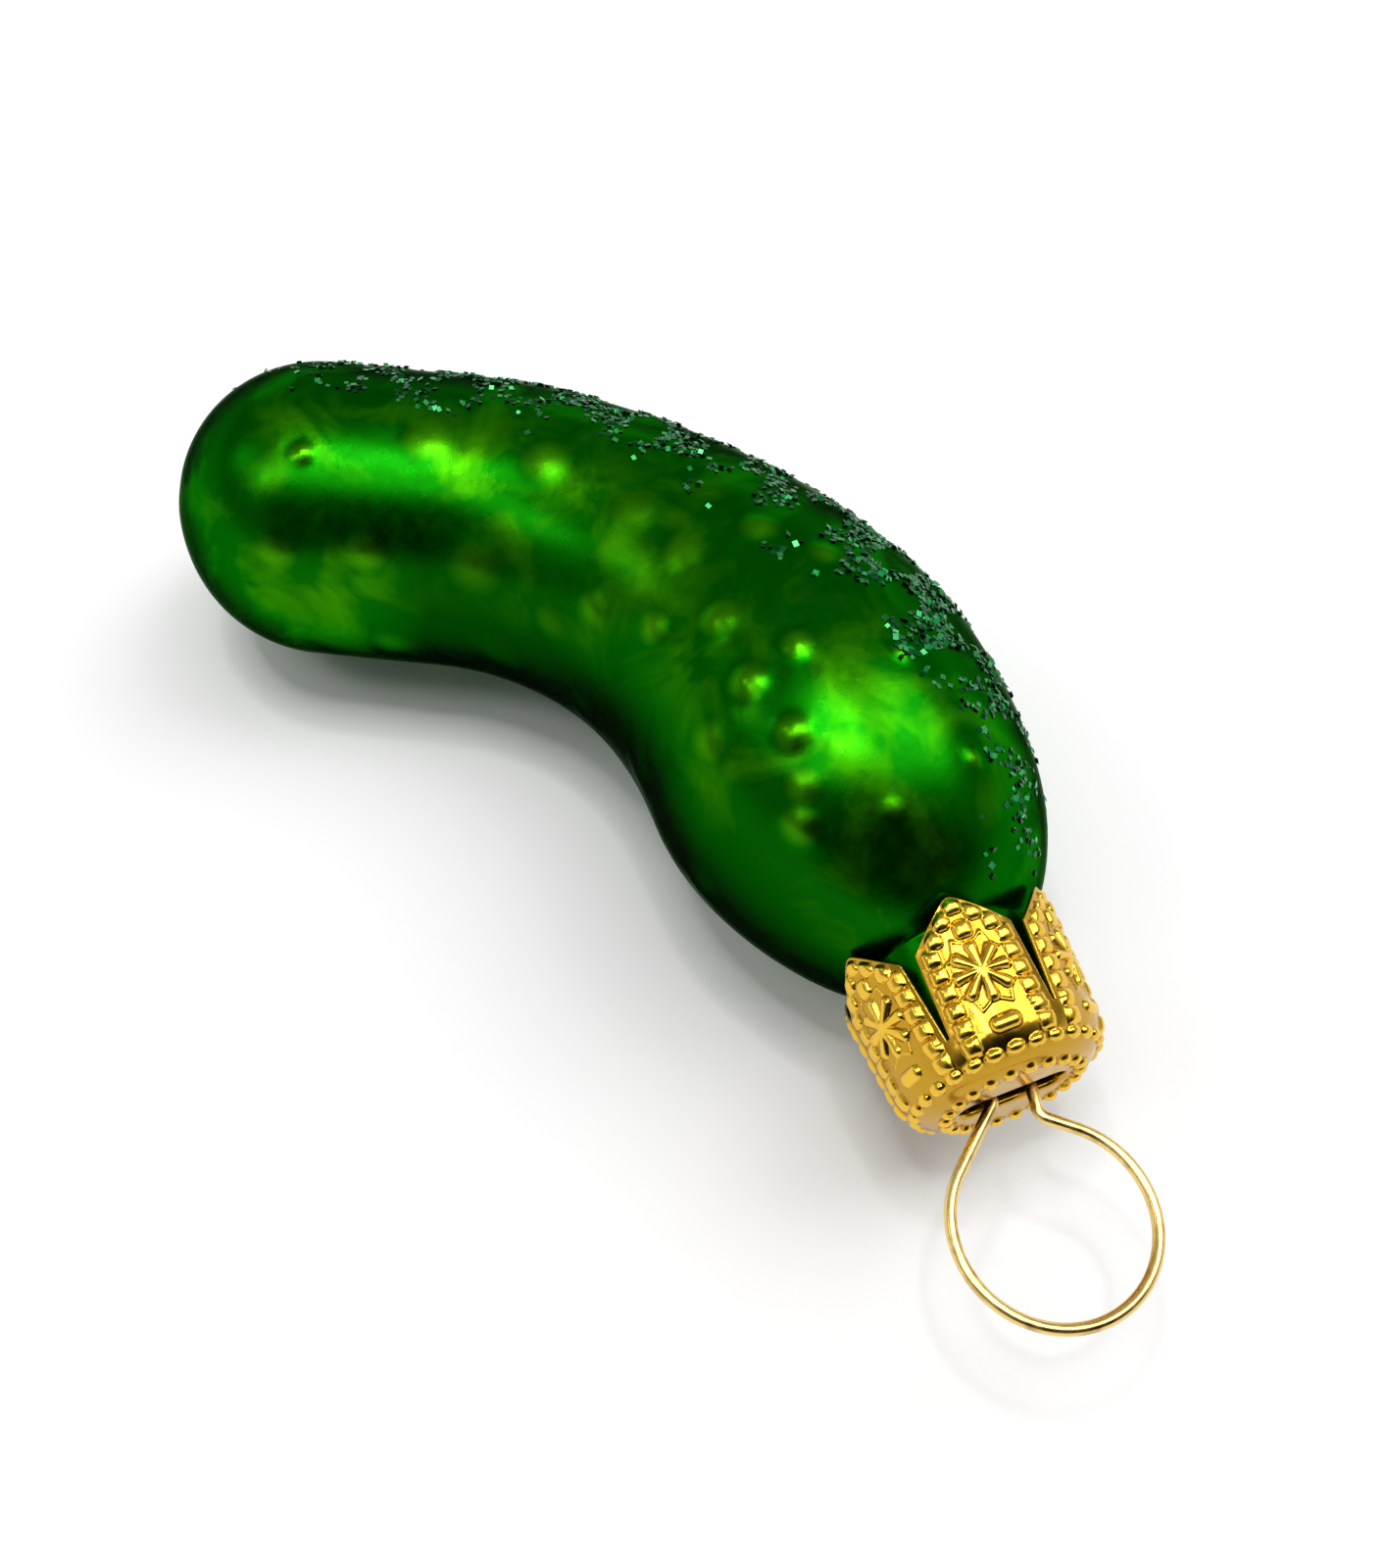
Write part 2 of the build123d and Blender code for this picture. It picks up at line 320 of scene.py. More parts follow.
def centreline(glass, along):
    """Middle of the body, direction to the outside of the bend and direction towards the tip."""
    arc = glass.bend_radius * glass.bend_angle
    bend = np.clip(along - glass.bend_start, 0, arc) / glass.bend_radius
    beyond = np.clip(along - glass.bend_start - arc, 0, None)
    ease = np.clip(along / glass.shoulder_length, 0, 1)
    sidestep = glass.lobe_sidestep * ease * ease * (3 - 2 * ease)
    x = -sidestep - glass.bend_radius * (1 - np.cos(bend)) - beyond * np.sin(bend)
    y = glass.neck_seat + glass.neck_length + np.minimum(along, glass.bend_start)
    y = y + glass.bend_radius * np.sin(bend) + beyond * np.cos(bend)
    z = np.where(along > glass.shoulder_length, body_radius(glass, along) - glass.lobe_radius, 0)
    flat = np.zeros_like(bend)
    out = np.stack([np.cos(bend), np.sin(bend), flat], -1)
    ahead = np.stack([-np.sin(bend), np.cos(bend), flat], -1)
    return np.stack([x, y, z], -1), out, ahead


def skin(glass, along, angle, inset=0.0):
    """Points and outward normals of the smooth glass form, taken in by an inset."""
    along, angle, inset = np.broadcast_arrays(along, angle, inset)
    base = np.minimum(along, tip_start(glass))
    over = (along - base) / glass.tip_radius
    radius = body_radius(glass, base) - inset
    centre, out, ahead = centreline(glass, base)
    step = 0.05 * MM
    slope = (body_radius(glass, base + step) - body_radius(glass, base - step)) / (2 * step)
    lean = np.where((base > 0.5 * MM) & (over == 0), np.arctan(slope), 0) - over
    spoke = out * np.sin(angle)[..., None] + UP * np.cos(angle)[..., None]
    points = centre + spoke * (radius * np.cos(over))[..., None] + ahead * (radius * np.sin(over))[..., None]
    normals = spoke * np.cos(lean)[..., None] - ahead * np.sin(lean)[..., None]
    return points, normals


def lump_field(glass, points):
    """Height of the lumps at points of the skin, and how far each point lies on a lump from 0 to 1."""
    height = np.zeros(points.shape[:-1])
    mask = np.zeros(points.shape[:-1])
    for along, angle, radius, rise in LUMPS:
        middle, _ = skin(glass, np.array(along * MM), np.array(radians(angle)))
        away = np.linalg.norm(points - middle, axis=-1) / (radius * MM)
        bump = (1 + np.cos(pi * np.clip(away, 0, 1))) / 2
        height += rise * MM * bump
        mask = np.maximum(mask, bump)
    return height, mask


def ripple_field(glass, along, angle):
    """Slow unevenness that a mouth-blown surface has, from a few long waves."""
    wave = np.sin(along / (2.9 * MM) + 2 * np.sin(2 * angle)) * np.cos(3 * angle + along / (7 * MM))
    slow = np.sin(along / (6.1 * MM) + 3 * angle + 1.1) * np.cos(angle - 0.6)
    fade = np.clip(along / (4 * MM), 0, 1)
    return glass.ripple * fade * (0.35 * wave + 0.65 * slow - 1.2)


def glass_skin(glass, along, angle):
    """The finished outside: points, normals and the lump mask."""
    points, normals = skin(glass, along, angle)
    height, mask = lump_field(glass, points)
    along, angle = np.broadcast_arrays(along, angle)
    rise = height + ripple_field(glass, along, angle)
    return points + normals * rise[..., None], normals, mask


def build_glass(glass):
    """One closed shell: the outside from the pole to the mouth, the lip, and the inside back to its pole."""
    angles = np.linspace(0, 2 * pi, glass.columns, endpoint=False)[None, :]
    mouth = -glass.neck_length
    pole = pole_along(glass)
    even = np.linspace(pole, mouth + glass.lip, glass.rows)[1:]
    shoulder = np.linspace(0, 2 * MM, 12)
    outside = np.sort(np.concatenate([even, shoulder]))[::-1]
    lip_turns = np.linspace(0, pi / 2, 6)[1:]
    bore_inset = glass.wall - glass.lip
    lip_along = mouth + glass.lip * (1 - np.sin(lip_turns))
    lip_inset = glass.lip * (1 - np.cos(lip_turns))
    inner_along = lip_along[::-1]
    inner_inset = bore_inset + glass.lip * np.sin(np.linspace(0, pi / 2, 6)[:-1])
    inside = np.linspace(mouth + glass.lip, pole, glass.rows // 3)[:-1]
    outer_points, _, mask = glass_skin(glass, outside[:, None], angles)
    plain_along = np.concatenate([lip_along, inner_along, inside])
    plain_inset = np.concatenate([lip_inset, inner_inset, np.full(len(inside), glass.wall)])
    plain_points, _ = skin(glass, plain_along[:, None], angles, plain_inset[:, None])
    rings = np.concatenate([outer_points, plain_points])
    rows, columns = rings.shape[:2]
    poles = [skin(glass, np.array(pole), np.array(0.0), inset)[0] for inset in (0.0, glass.wall)]
    points = np.concatenate([rings.reshape(-1, 3), poles])
    faces = ring_faces(rows, columns)
    last = (rows - 1) * columns
    for column in range(columns):
        beside = (column + 1) % columns
        faces.append((beside, column, rows * columns))
        faces.append((last + column, last + beside, rows * columns + 1))
    piece = mesh_object("blown_glass", row_frame(points), faces)
    lumps = np.zeros(len(points))
    lumps[: mask.size] = mask.ravel()
    point_values(piece, "lump", lumps)
    # Painted shade on the flank inside the bend, fading out towards the tail
    inside_bend = np.zeros(len(points))
    before_tip = np.clip((glass.flank_end - outside) / glass.flank_fade, 0, 1)
    inside_bend[: mask.size] = (before_tip[:, None] * np.cos(angles - glass.flank_turn)).ravel()
    point_values(piece, "inside_bend", inside_bend)
    return piece


# The glitter

def build_glitter(glass, glitter):
    """Small square plates in glued patches along the outside of the bend, each a closed solid."""
    draw = np.random.default_rng(glitter.seed)
    spots = []
    for patch_along, patch_angle, spread_along, spread_angle, grains in GLITTER_PATCHES:
        spot_along = draw.normal(patch_along, spread_along, grains) * MM
        spot_angle = np.radians(draw.normal(patch_angle, spread_angle, grains))
        spots.append(np.stack([spot_along, spot_angle], -1))
    along, angle = np.concatenate(spots).T
    on_lobe = (along > glitter.lobe_low) & (along < glitter.lobe_high)
    start = np.where(on_lobe, glitter.lobe_start, 0)
    inside = (angle < glitter.outermost) & (angle > start) & (along > glitter.foot_gap)
    clumps = np.sin(along / (0.62 * MM) + 4 * angle) + np.sin(9 * angle - along / MM)
    kept = inside & (clumps > glitter.gaps)
    middle, normal, _ = glass_skin(glass, along[kept], angle[kept])
    grains = len(middle)
    spin = draw.uniform(0, 2 * pi, grains)
    tilt = glitter.tilt * draw.uniform(0, 1, grains) ** 1.5
    size = glitter.grain / 2 * draw.uniform(0.7, 1.15, grains)
    side = np.cross(normal, [0, 1, 0.2])
    side /= np.linalg.norm(side, axis=-1, keepdims=True)
    other = np.cross(normal, side)
    hinge = side * np.cos(spin)[:, None] + other * np.sin(spin)[:, None]
    across = np.cross(normal, hinge)
    rise = across * np.cos(tilt)[:, None] + normal * np.sin(tilt)[:, None]
    face = np.cross(hinge, rise)
    lifted = middle + normal * (size * np.sin(tilt) * 0.8)[:, None]
    corners = []
    for top in (0, 1):
        for aside, ahead in ((-1, -1), (1, -1), (1, 1), (-1, 1)):
            corner = lifted + hinge * (aside * size)[:, None] + rise * (ahead * size)[:, None]
            corners.append(corner + face * (top * glitter.thickness))
    points = row_frame(np.stack(corners, 1))
    points = points[((points > CAD_LOW) & (points < CAD_HIGH)).all(axis=(1, 2))]
    grains = len(points)
    faces = []
    for grain in range(grains):
        first = grain * 8
        for quad in ((3, 2, 1, 0), (4, 5, 6, 7), (0, 1, 5, 4), (1, 2, 6, 5), (2, 3, 7, 6), (3, 0, 4, 7)):
            faces.append(tuple(first + corner for corner in quad))
    piece = mesh_object("glued_glitter", points.reshape(-1, 3), faces, smooth=False)
    # A random share for each grain between its painted shade and its painted glint
    point_values(piece, "tone", np.repeat(draw.uniform(0, 1, grains), 8))
    return piece


# The stamped cap

def dome(away, fullness=0.6):
    """A bead's height from 0 to 1, at a share of the way from its middle to its edge."""
    return np.clip(1 - away ** 2, 0, None) ** fullness


def ridge(away):
    """A fine raised line's height from 0 to 1, at a share of the way from its middle to its foot."""
    return np.exp(-(away ** 2))


def petal_beads(cap):
    """Middles of the beads that border a petal: up both sides, over the gable, one below the point."""
    places = [(cap.side_beads, down * MM) for down in (-0.92, 0.1, 1.15, 2.2, 3.25, 4.25)]
    places += [(1.72 * MM, 5.12 * MM), (0.93 * MM, 5.9 * MM)]
    return places + [(-across, down) for across, down in places] + [(0.0, 6.55 * MM), (0.0, 5.1 * MM)]


def rosette_relief(cap, across, down):
    """A flower of eight bold arms in the middle of a cap petal, with sunk kites between them."""
    below = down - cap.rosette_depth
    radius = np.hypot(across, below)
    angle = np.arctan2(across, below)
    from_arm = (angle + pi / 8) % (pi / 4) - pi / 8
    along = radius * np.cos(from_arm)
    width = 0.17 * MM + 0.13 * along
    beyond = np.clip(along - cap.rosette_radius + 0.3 * MM, 0, None)
    arm = np.hypot(radius * np.sin(from_arm), beyond) / width
    from_kite = angle % (pi / 4) - pi / 8
    out = radius * np.cos(from_kite)
    middle = 1.62 * MM
    ends = np.maximum((out - middle) / (0.5 * MM), (middle - out) / (0.85 * MM))
    kite = np.abs(radius * np.sin(from_kite)) / (0.4 * MM) + ends
    height = 0.3 * ridge((kite - 1.25) / 0.2) - 0.75 * np.clip(1.1 - kite, 0, 1)
    return np.maximum(height, 0.95 * dome(arm))


def side_relief(cap, across, down):
    """Embossing of the side, across a petal and down from its root, in shares of its full height."""
    height = rosette_relief(cap, across, down)
    for bead_across, bead_down in petal_beads(cap):
        away = ((across - bead_across) ** 4 + (down - bead_down) ** 4) ** 0.25 / cap.bead
        height = height - 0.35 * ridge((away - 1.1) / 0.14)
        height = np.maximum(height, dome(away, 0.45))
    arch = np.hypot(np.clip(np.abs(across) - 0.45 * MM, 0, None), down + 0.4 * MM)
    return np.maximum(height, 0.9 * dome(arch / (0.42 * MM)))


def rim_relief(cap, angle, over):
    """Oval beads on the rounded edge of the head, at an angle round it and a distance over the edge."""
    spacing = 2 * pi / cap.rim_beads
    beside = ((angle + spacing / 2) % spacing - spacing / 2) * cap.radius
    away = np.hypot(beside / 0.6, (over - cap.rim_beads_at) / 0.38) / MM
    return dome(away) - 0.3 * ridge((away - 1.2) / 0.2)


def top_relief(cap, angle, radius):
    """A ring of round beads on the cap's top, at an angle round it and a distance from its middle."""
    spacing = 2 * pi / cap.top_beads
    beside = angle % spacing - spacing / 2
    away = np.hypot(radius * np.sin(beside), radius * np.cos(beside) - cap.top_bead_ring) / cap.top_bead
    return dome(away) - 0.3 * ridge((away - 1.2) / 0.2)


def cup_radius(cap, depth):
    """Radius of the flaring side at a depth below the top."""
    return cap.radius + depth * np.tan(cap.flare)


def cup_points(radius, angle, depth):
    """Points of the cap from their distance from its axis, their angle from the top and their depth."""
    return np.stack([radius * np.sin(angle), depth + 0 * angle, radius * np.cos(angle)], -1)


def slot_points(cap, angle, out):
    """Places round the slot at a distance out from its edge, one for each spoke of the top plate."""
    run = (cap.slot_length - cap.slot_width) / 2
    radius = cap.slot_width / 2 + out
    lap = 4 * run + 2 * pi * radius
    end = pi * radius
    places = []
    for distance in ((pi / 2 - angle) % (2 * pi)) / (2 * pi) * lap:
        distance = (distance + end / 2) % lap
        if distance < end:
            swing = distance / radius - pi / 2
            places.append((run + radius * cos(swing), radius * sin(swing)))
        elif distance < end + 2 * run:
            places.append((run - (distance - end), radius))
        elif distance < 2 * end + 2 * run:
            swing = (distance - end - 2 * run) / radius + pi / 2
            places.append((-run + radius * cos(swing), radius * sin(swing)))
        else:
            places.append((distance - 2 * end - 3 * run, -radius))
    return np.array(places)


def lip_rings(cap):
    """Distance out from the slot's edge and depth of each ring of its rolled lip."""
    swings = np.linspace(0, pi / 2, 6, endpoint=False)
    rolled = [(cap.lip * (1 - cos(swing)), cap.lip * (1 - sin(swing))) for swing in swings]
    return [(0.0, cap.lip_depth), (0.0, (cap.lip_depth + cap.lip) / 2), *rolled]


def head_rings(cap, angles, across):
    """Rings of the head with their relief: the slot's lip, the top, the rounded edge and the skirt."""
    points, normals, relief = [], [], []
    plain = np.zeros(len(angles))
    for out, depth in lip_rings(cap):
        place = slot_points(cap, angles, out)
        points.append(np.stack([place[:, 0], plain + depth, place[:, 1]], -1))
        normals.append(np.zeros((len(angles), 3)))
        relief.append(plain)
    flat = cup_radius(cap, cap.edge * (1 - sin(cap.flare))) - cap.edge * cos(cap.flare)
    slot = slot_points(cap, angles, cap.lip)
    edge = np.stack([flat * np.sin(angles), flat * np.cos(angles)], -1)
    for part in np.linspace(0, 1, cap.top_rows, endpoint=False):
        place = slot + (edge - slot) * part
        points.append(np.stack([place[:, 0], plain, place[:, 1]], -1))
        normals.append(np.tile([0.0, -1.0, 0.0], (len(angles), 1)))
        relief.append(top_relief(cap, np.arctan2(place[:, 0], place[:, 1]), np.linalg.norm(place, axis=1)))
    for swing in np.linspace(0, pi / 2 - cap.flare, cap.edge_rows, endpoint=False):
        radius, depth = flat + cap.edge * sin(swing), cap.edge * (1 - cos(swing))
        points.append(cup_points(radius, angles, depth))
        normals.append(cup_points(sin(swing), angles, -cos(swing)))
        below = side_relief(cap, across, plain + depth - cap.skirt) * np.clip((swing - 0.9) / 0.2, 0, 1)
        beads = np.maximum(rim_relief(cap, angles, cap.edge * swing), top_relief(cap, angles, radius))
        relief.append(np.maximum(beads, below))
    for depth in np.linspace(cap.edge * (1 - sin(cap.flare)), cap.skirt, cap.skirt_rows):
        points.append(cup_points(cup_radius(cap, depth), angles, depth))
        normals.append(cup_points(cos(cap.flare), angles, -sin(cap.flare)))
        relief.append(side_relief(cap, across, plain + depth - cap.skirt))
    return np.array(points), np.array(normals), np.array(relief)


def petal_grid(cap, middle, share_across):
    """Points of one petal below its root, from side to side, with their normals and relief."""
    gable = cap.depth - cap.shoulder
    rounding = 0.1
    fall = (np.hypot(share_across, rounding) - rounding) / (hypot(1, rounding) - rounding)
    ends = cap.depth - fall * gable
    down = np.linspace(0, 1, cap.petal_rows + 1)[1:, None] * (ends - cap.skirt)[None, :]
    depth = cap.skirt + down
    widening = np.clip(down / (cap.shoulder - cap.skirt), 0, 1)
    notch = cap.notch_root + (cap.notch_width - cap.notch_root) * widening
    radius = cup_radius(cap, depth)
    half = radius * pi / cap.petals - notch / 2
    across = share_across[None, :] * half
    angle = middle + across / radius
    from_edge = np.minimum(half - np.abs(across), (ends[None, :] - depth) * 0.8)
    relief = side_relief(cap, across, down) * np.clip((from_edge - 0.1 * MM) / (0.25 * MM), 0, 1)
    normals = cup_points(cos(cap.flare), angle, -sin(cap.flare))
    return cup_points(radius, angle, depth), normals, relief


def turned(points, angle):
    """Points turned about the cap's axis, from the top towards the outside of the bend."""
    x, y, z = points.T
    return np.stack([x * cos(angle) + z * sin(angle), y, z * cos(angle) - x * sin(angle)], -1)


def build_cap(cap):
    """One pressed sheet with its thickness: a slotted top, a beaded edge, the skirt and the petals."""
    share_across = np.linspace(-1, 1, cap.petal_columns)
    middles = np.arange(cap.petals) * 2 * pi / cap.petals
    half = pi / cap.petals - cap.notch_root / 2 / cup_radius(cap, cap.skirt)
    angles = (middles[:, None] + share_across[None, :] * half).ravel()
    across = np.tile(share_across * half * cap.radius, cap.petals)
    head, head_normals, head_relief = head_rings(cap, angles, across)
    points = [(head + head_normals * (head_relief * cap.relief)[..., None]).reshape(-1, 3)]
    relief = [head_relief.ravel()]
    rows, columns = head_relief.shape
    faces = ring_faces(rows, columns)
    first = rows * columns
    for petal, middle in enumerate(middles):
        grid, normals, height = petal_grid(cap, middle, share_across)
        points.append((grid + normals * (height * cap.relief)[..., None]).reshape(-1, 3))
        relief.append(height.ravel())
        above = (rows - 1) * columns + petal * cap.petal_columns
        for row in range(cap.petal_rows):
            below = first + row * cap.petal_columns
            for step in range(cap.petal_columns - 1):
                faces.append((above + step, above + step + 1, below + step + 1, below + step))
            above = below
        first += cap.petal_rows * cap.petal_columns
    piece = mesh_object("stamped_cap", row_frame(turned(np.concatenate(points), cap.petal_turn)), faces)
    point_values(piece, "relief", np.concatenate(relief))
    thicken = piece.modifiers.new("sheet", "SOLIDIFY")
    thicken.thickness = cap.sheet
    thicken.offset = -1
    thicken.use_rim = True
    return piece


# The wire hanger

def bend_points(before, corner, after, radius, steps=14):
    """Points of a bend of a given radius in the corner between two straight runs."""
    before, corner, after = (np.asarray(point, float) for point in (before, corner, after))
    back = (before - corner) / np.linalg.norm(before - corner)
    on = (after - corner) / np.linalg.norm(after - corner)
    half = np.arccos(np.clip(back @ on, -1, 1)) / 2
    middle = corner + (back + on) / np.linalg.norm(back + on) * radius / sin(half)
    start = corner + back * radius / np.tan(half)
    end = corner + on * radius / np.tan(half)
    first = atan2(*(start - middle)[::-1])
    sweep = (atan2(*(end - middle)[::-1]) - first + pi) % (2 * pi) - pi
    angles = first + sweep * np.linspace(0, 1, steps)
    return [tuple(middle + radius * np.array([cos(angle), sin(angle)])) for angle in angles]


def loop_touch(hanger, point, side):
    """Angle on the loop where a straight run from a point touches it."""
    away = (point[0] - hanger.loop_sidestep, point[1] - hanger.loop_reach)
    swing = pi / 2 - np.arcsin(hanger.loop_radius / hypot(*away))
    return atan2(away[1], away[0]) + side * swing


def hanger_line(hanger):
    """Centreline of the wire across and out of the cap's top: a leg, the loop and the other leg."""
    left = (hanger.left_bend_side, hanger.left_bend)
    right = (hanger.right_bend_side, hanger.right_bend)
    left_end = (-hanger.leg_spread / 2, -hanger.leg_length)
    right_end = (hanger.leg_spread / 2, -hanger.leg_length)
    left_angle = loop_touch(hanger, left, -1) % (2 * pi)
    right_angle = loop_touch(hanger, right, 1)
    right_angle = (right_angle + pi) % (2 * pi) - pi
    angles = np.linspace(left_angle, right_angle, 110)
    loop = [(hanger.loop_sidestep + hanger.loop_radius * cos(angle),
             hanger.loop_reach + hanger.loop_radius * sin(angle)) for angle in angles]
    radius = hanger.bend_inside + hanger.wire / 2
    left_bend = bend_points(left_end, left, loop[0], radius)
    right_bend = bend_points(loop[-1], right, right_end, radius)
    return np.array([left_end, *left_bend, *loop, *right_bend, right_end])


def build_hanger(hanger):
    """A round wire along the hanger's line, with rounded ends."""
    line = hanger_line(hanger)
    ahead = np.gradient(line, axis=0)
    ahead /= np.linalg.norm(ahead, axis=1, keepdims=True)
    radius = hanger.wire / 2
    swings = np.radians((80, 55, 30, 10))
    cut = radius / 2
    start = [(line[0] - ahead[0] * cut * sin(swing), ahead[0], cos(swing)) for swing in swings]
    run = [(place, direction, 1.0) for place, direction in zip(line, ahead)]
    end = [(line[-1] + ahead[-1] * cut * sin(swing), ahead[-1], cos(swing)) for swing in swings[::-1]]
    angles = np.linspace(0, 2 * pi, hanger.columns, endpoint=False)
    rings = []
    for place, direction, width in start + run + end:
        across = np.array([direction[1], -direction[0]])
        spokes = np.cos(angles)[:, None] * across * width * radius
        ring = np.zeros((hanger.columns, 3))
        ring[:, 0] = place[0] + spokes[:, 0]
        ring[:, 1] = -(place[1] + spokes[:, 1])
        ring[:, 2] = np.sin(angles) * width * radius
        rings.append(ring)
    rows = len(rings)
    points = np.concatenate(rings)
    faces = ring_faces(rows, hanger.columns)
    faces.append(tuple(range(hanger.columns))[::-1])
    faces.append(tuple((rows - 1) * hanger.columns + step for step in range(hanger.columns)))
    return mesh_object("wire_loop", row_frame(points), faces)


# Materials

class Shader:
    """A material's nodes, added one at a time and joined by name."""

    def __init__(self, name):
        self.material = bpy.data.materials.new(name)
        self.material.use_nodes = True
        self.tree = self.material.node_tree
        self.surface = self.tree.nodes["Principled BSDF"]

    def add(self, kind, inputs=None, **values):
        made = self.tree.nodes.new("ShaderNode" + kind)
        for key, value in values.items():
            setattr(made, key, value)
        for socket, value in (inputs or {}).items():
            self.put(made, socket, value)
        return made

    def put(self, made, socket, value):
        """Sets an input to a number or colour, or joins it to another node's output."""
        if isinstance(value, bpy.types.NodeSocket):
            self.tree.links.new(value, made.inputs[socket])
        else:
            made.inputs[socket].default_value = value

    def set(self, **values):
        for name, value in values.items():
            self.put(self.surface, name.replace("_", " ").title().replace("Ior", "IOR"), value)

    def noise(self, scale, detail=2.0, roughness=0.5, distortion=0.0):
        """Noise in the part's own space, whose scale is in waves a metre."""
        space = self.add("TexCoord")
        made = self.add("TexNoise", {
            "Vector": space.outputs["Object"], "Scale": scale, "Detail": detail, "Roughness": roughness,
            "Distortion": distortion})
        return made.outputs["Fac"]

    def steps(self, value, low, high, from_value=0.0, to_value=1.0):
        """A value between two limits mapped to a new range."""
        made = self.add("MapRange", {
            "Value": value, "From Min": low, "From Max": high, "To Min": from_value, "To Max": to_value})
        return made.outputs["Result"]

    def mix(self, factor, first, second):
        made = self.add("Mix", data_type="RGBA")
        self.put(made, 0, factor)
        self.put(made, 6, first)
        self.put(made, 7, second)
        return made.outputs[2]

    def value_of(self, name):
        return self.add("Attribute", attribute_name=name).outputs["Fac"]

    def bump(self, height, strength, distance):
        made = self.add("Bump", {"Height": height, "Strength": strength, "Distance": distance})
        return made.outputs["Normal"]


def solid(colour_value):
    """A colour setting with full opacity."""
    return (*colour_value, 1.0)


def lacquered_glass(glass):
    """Green lacquer over silvered glass: satin metal, blotchy where the lacquer is thin, dark at the rim,
    with painted shade on the flank inside the bend.
    """
    shader = Shader("lacquered_glass")
    blotches = shader.steps(shader.noise(190, 3.0, 0.55, 0.6), 0.45, 0.72)
    lacquer = shader.mix(blotches, solid(glass.deep_green), solid(glass.leaf_green))
    on_lump = shader.steps(shader.value_of("lump"), 0.1, 1.0, 0.0, 0.65)
    lacquer = shader.mix(on_lump, lacquer, solid(glass.lump_green))
    # Painted shade: the flank inside the bend is painted a darker green
    inside_bend = shader.steps(shader.value_of("inside_bend"), 0.6, 0.95)
    shader.set(base_color=shader.mix(inside_bend, lacquer, solid(glass.flank_green)))
    shader.set(metallic=1.0, specular_tint=solid(glass.rim_green))
    shader.set(roughness=shader.steps(shader.noise(900, 2.0), 0.3, 0.7, 0.25, 0.33))
    shader.set(coat_weight=0.012, coat_roughness=0.2, coat_ior=1.45)
    shader.set(normal=shader.bump(shader.noise(2600, 2.0), 0.12, 0.00004))
    return shader.material


def glitter_grains(glitter):
    """Grains of coloured foil, each painted at random between a shaded colour and a pale painted glint."""
    shader = Shader("glitter_grains")
    # Painted glint and painted shade: each grain's colour lies between the shaded and the glinting copy
    tone = shader.steps(shader.value_of("tone"), 0.45, 1.0)
    shader.set(base_color=shader.mix(tone, solid(glitter.dark_grain), solid(glitter.pale_grain)))
    shader.set(metallic=1.0, roughness=0.34)
    return shader.material


def stamped_gold(cap):
    """Bright gold plating, darkened towards the stamped hollows as painted shade, and faintly brushed."""
    shader = Shader("stamped_gold")
    # Painted shade: from the shaded gold in the hollows through the flats to the bright gold on the raised
    # embossing
    raised = shader.steps(shader.value_of("relief"), -0.35, 0.45)
    shader.set(base_color=shader.mix(raised, solid(cap.deep_gold), solid(cap.bright_gold)))
    shader.set(metallic=1.0)
    shader.set(roughness=shader.steps(shader.noise(1400, 3.0), 0.3, 0.7, 0.13, 0.25))
    shader.set(normal=shader.bump(shader.noise(1700, 3.0), 0.2, 0.00006))
    return shader.material


def plated_wire(hanger):
    """Drawn wire with thin gold plating that is worn in places."""
    shader = Shader("plated_wire")
    worn = shader.steps(shader.noise(700, 3.0), 0.52, 0.72)
    shader.set(base_color=shader.mix(worn, solid(hanger.wire_gold), solid(hanger.worn_gold)))
    shader.set(metallic=1.0)
    shader.set(roughness=shader.steps(shader.noise(1500, 2.0), 0.3, 0.7, 0.18, 0.3))
    return shader.material


def floor_paper(stage):
    shader = Shader("floor_paper")
    shader.set(base_color=solid(stage.floor_white), roughness=0.9)
    return shader.material


# The stage

def camera_back(stage):
    """Direction from what the camera looks at back to the camera."""
    level = cos(stage.elevation)
    return Vector((sin(stage.azimuth) * level, -cos(stage.azimuth) * level, sin(stage.elevation)))


def place_camera(stage):
    back = camera_back(stage)
    lens = bpy.data.cameras.new("photo_camera")
    lens.sensor_width = 36
    lens.sensor_fit = "AUTO"
    lens.lens = stage.focal / MM
    lens.clip_start, lens.clip_end = 0.001, 100
    camera = bpy.data.objects.new("photo_camera", lens)
    bpy.context.scene.collection.objects.link(camera)
    camera.location = Vector(CAP_TOP) + LOOKED_AT * MM + back * stage.distance
    camera.rotation_mode = "QUATERNION"
    camera.rotation_quaternion = (-back).to_track_quat("-Z", "Y")
    bpy.context.scene.camera = camera


def place_lamp(name, towards, energy, angle):
    """A distant lamp in a direction from the ornament, as wide as it is seen from there."""
    light_data = bpy.data.lights.new(name, "SUN")
    light_data.energy = energy
    light_data.angle = angle
    lamp = bpy.data.objects.new(name, light_data)
    lamp.rotation_mode = "QUATERNION"
    lamp.rotation_quaternion = towards.to_track_quat("Z", "Y")
    bpy.context.scene.collection.objects.link(lamp)


def place_panels(stage):
    """The light box's two panels on the lobe's side and three strip lamps on the tail's side."""
    place_lamp("top_panel", Vector((0.24, 0.0, 0.97)), stage.top_light, stage.panel_angle)
    place_lamp("side_panel", Vector((0.6, 0.08, 0.8)), stage.side_light, stage.panel_angle)
    place_lamp("tail_strip", Vector((-0.4, -0.06, 0.91)), stage.strip_light, stage.strip_angle)
    place_lamp("tip_strip", Vector((-0.62, 0.05, 0.78)), stage.strip_light, stage.strip_angle)
    place_lamp("back_strip", Vector((-0.66, 0.42, 0.62)), stage.strip_light / 2, stage.strip_angle)


